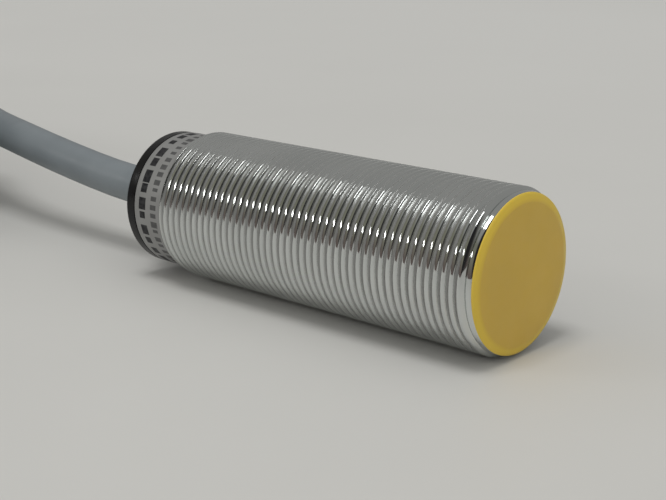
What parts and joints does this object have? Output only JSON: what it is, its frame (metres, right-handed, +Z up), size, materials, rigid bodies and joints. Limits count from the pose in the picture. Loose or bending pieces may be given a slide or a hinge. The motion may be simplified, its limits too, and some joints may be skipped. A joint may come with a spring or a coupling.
{
  "type": "proximity sensor",
  "caption": "Cylindrical inductive proximity sensor: chromed threaded barrel with a yellow sensing face, black rear cap and a grey cable folded into a tied hank with bare ends.",
  "frame": {"origin": "centre of the sensor's bounding box without its cable, on the plane the barrel lies on", "axes": "+X along the barrel's axis, out of the sensing face; +Z up; the cable leaves towards -X"},
  "size_m": [0.193, 0.0478, 0.0273],
  "materials": {
    "chrome_barrel": "bright chrome plating on brass, satin marking band at the rear",
    "yellow_face": "satin moulded PBT",
    "black_plastic": "semi-gloss moulded PA",
    "black_rubber": "matt moulded rubber",
    "ferrite": "sintered, matt",
    "white_plastic": "satin moulded",
    "copper": "bright copper",
    "board_green": "solder resist over glass fibre",
    "chip_black": "moulded epoxy",
    "ceramic_tan": "fired ceramic with tinned ends",
    "amber_plastic": "moulded epoxy",
    "resin": "cast resin",
    "clear_plastic": "clear moulded",
    "grey_pvc": "satin extruded PVC",
    "brown_pvc": "extruded PVC",
    "blue_pvc": "extruded PVC",
    "black_pvc": "extruded PVC",
    "white_pvc": "extruded PVC",
    "tinned_copper": "tinned copper strand",
    "steel": "zinc-plated steel"
  },
  "bodies": {
    "root": {"threaded_barrel": "chrome_barrel", "sensing_cap": "yellow_face", "rear_cap": "black_plastic", "rear_seal": "black_rubber", "cable_grommet": "black_rubber", "crimp_ring": "steel", "ferrite_core": "ferrite", "coil_bobbin": "white_plastic", "coil_winding": "copper", "shield_ring": "copper", "coil_lead_left": "copper", "coil_lead_right": "copper", "core_carrier": "white_plastic", "circuit_board": "board_green", "sensor_chip": "chip_black", "output_transistor_1": "chip_black", "output_transistor_2": "chip_black", "voltage_regulator": "chip_black", "surge_diode": "chip_black", "storage_capacitor": "amber_plastic", "ceramic_capacitor_1": "ceramic_tan", "ceramic_capacitor_2": "ceramic_tan", "ceramic_capacitor_3": "ceramic_tan", "resistor_1": "chip_black", "resistor_2": "chip_black", "resistor_3": "chip_black", "resistor_4": "chip_black", "indicator_led": "clear_plastic", "light_guide": "clear_plastic", "inner_core_brown": "brown_pvc", "inner_core_white": "white_pvc", "inner_core_black": "black_pvc", "inner_core_blue": "blue_pvc", "potting_plug": "resin", "cable_run": "grey_pvc", "cable_hank": "grey_pvc", "hank_tie_1": "black_plastic", "hank_tie_2": "black_plastic", "cable_tail": "grey_pvc", "end_core_brown": "brown_pvc", "end_core_white": "white_pvc", "end_core_black": "black_pvc", "end_core_blue": "blue_pvc", "end_strand_brown": "tinned_copper", "end_strand_white": "tinned_copper", "end_strand_black": "tinned_copper", "end_strand_blue": "tinned_copper"}
  },
  "joints": []
}
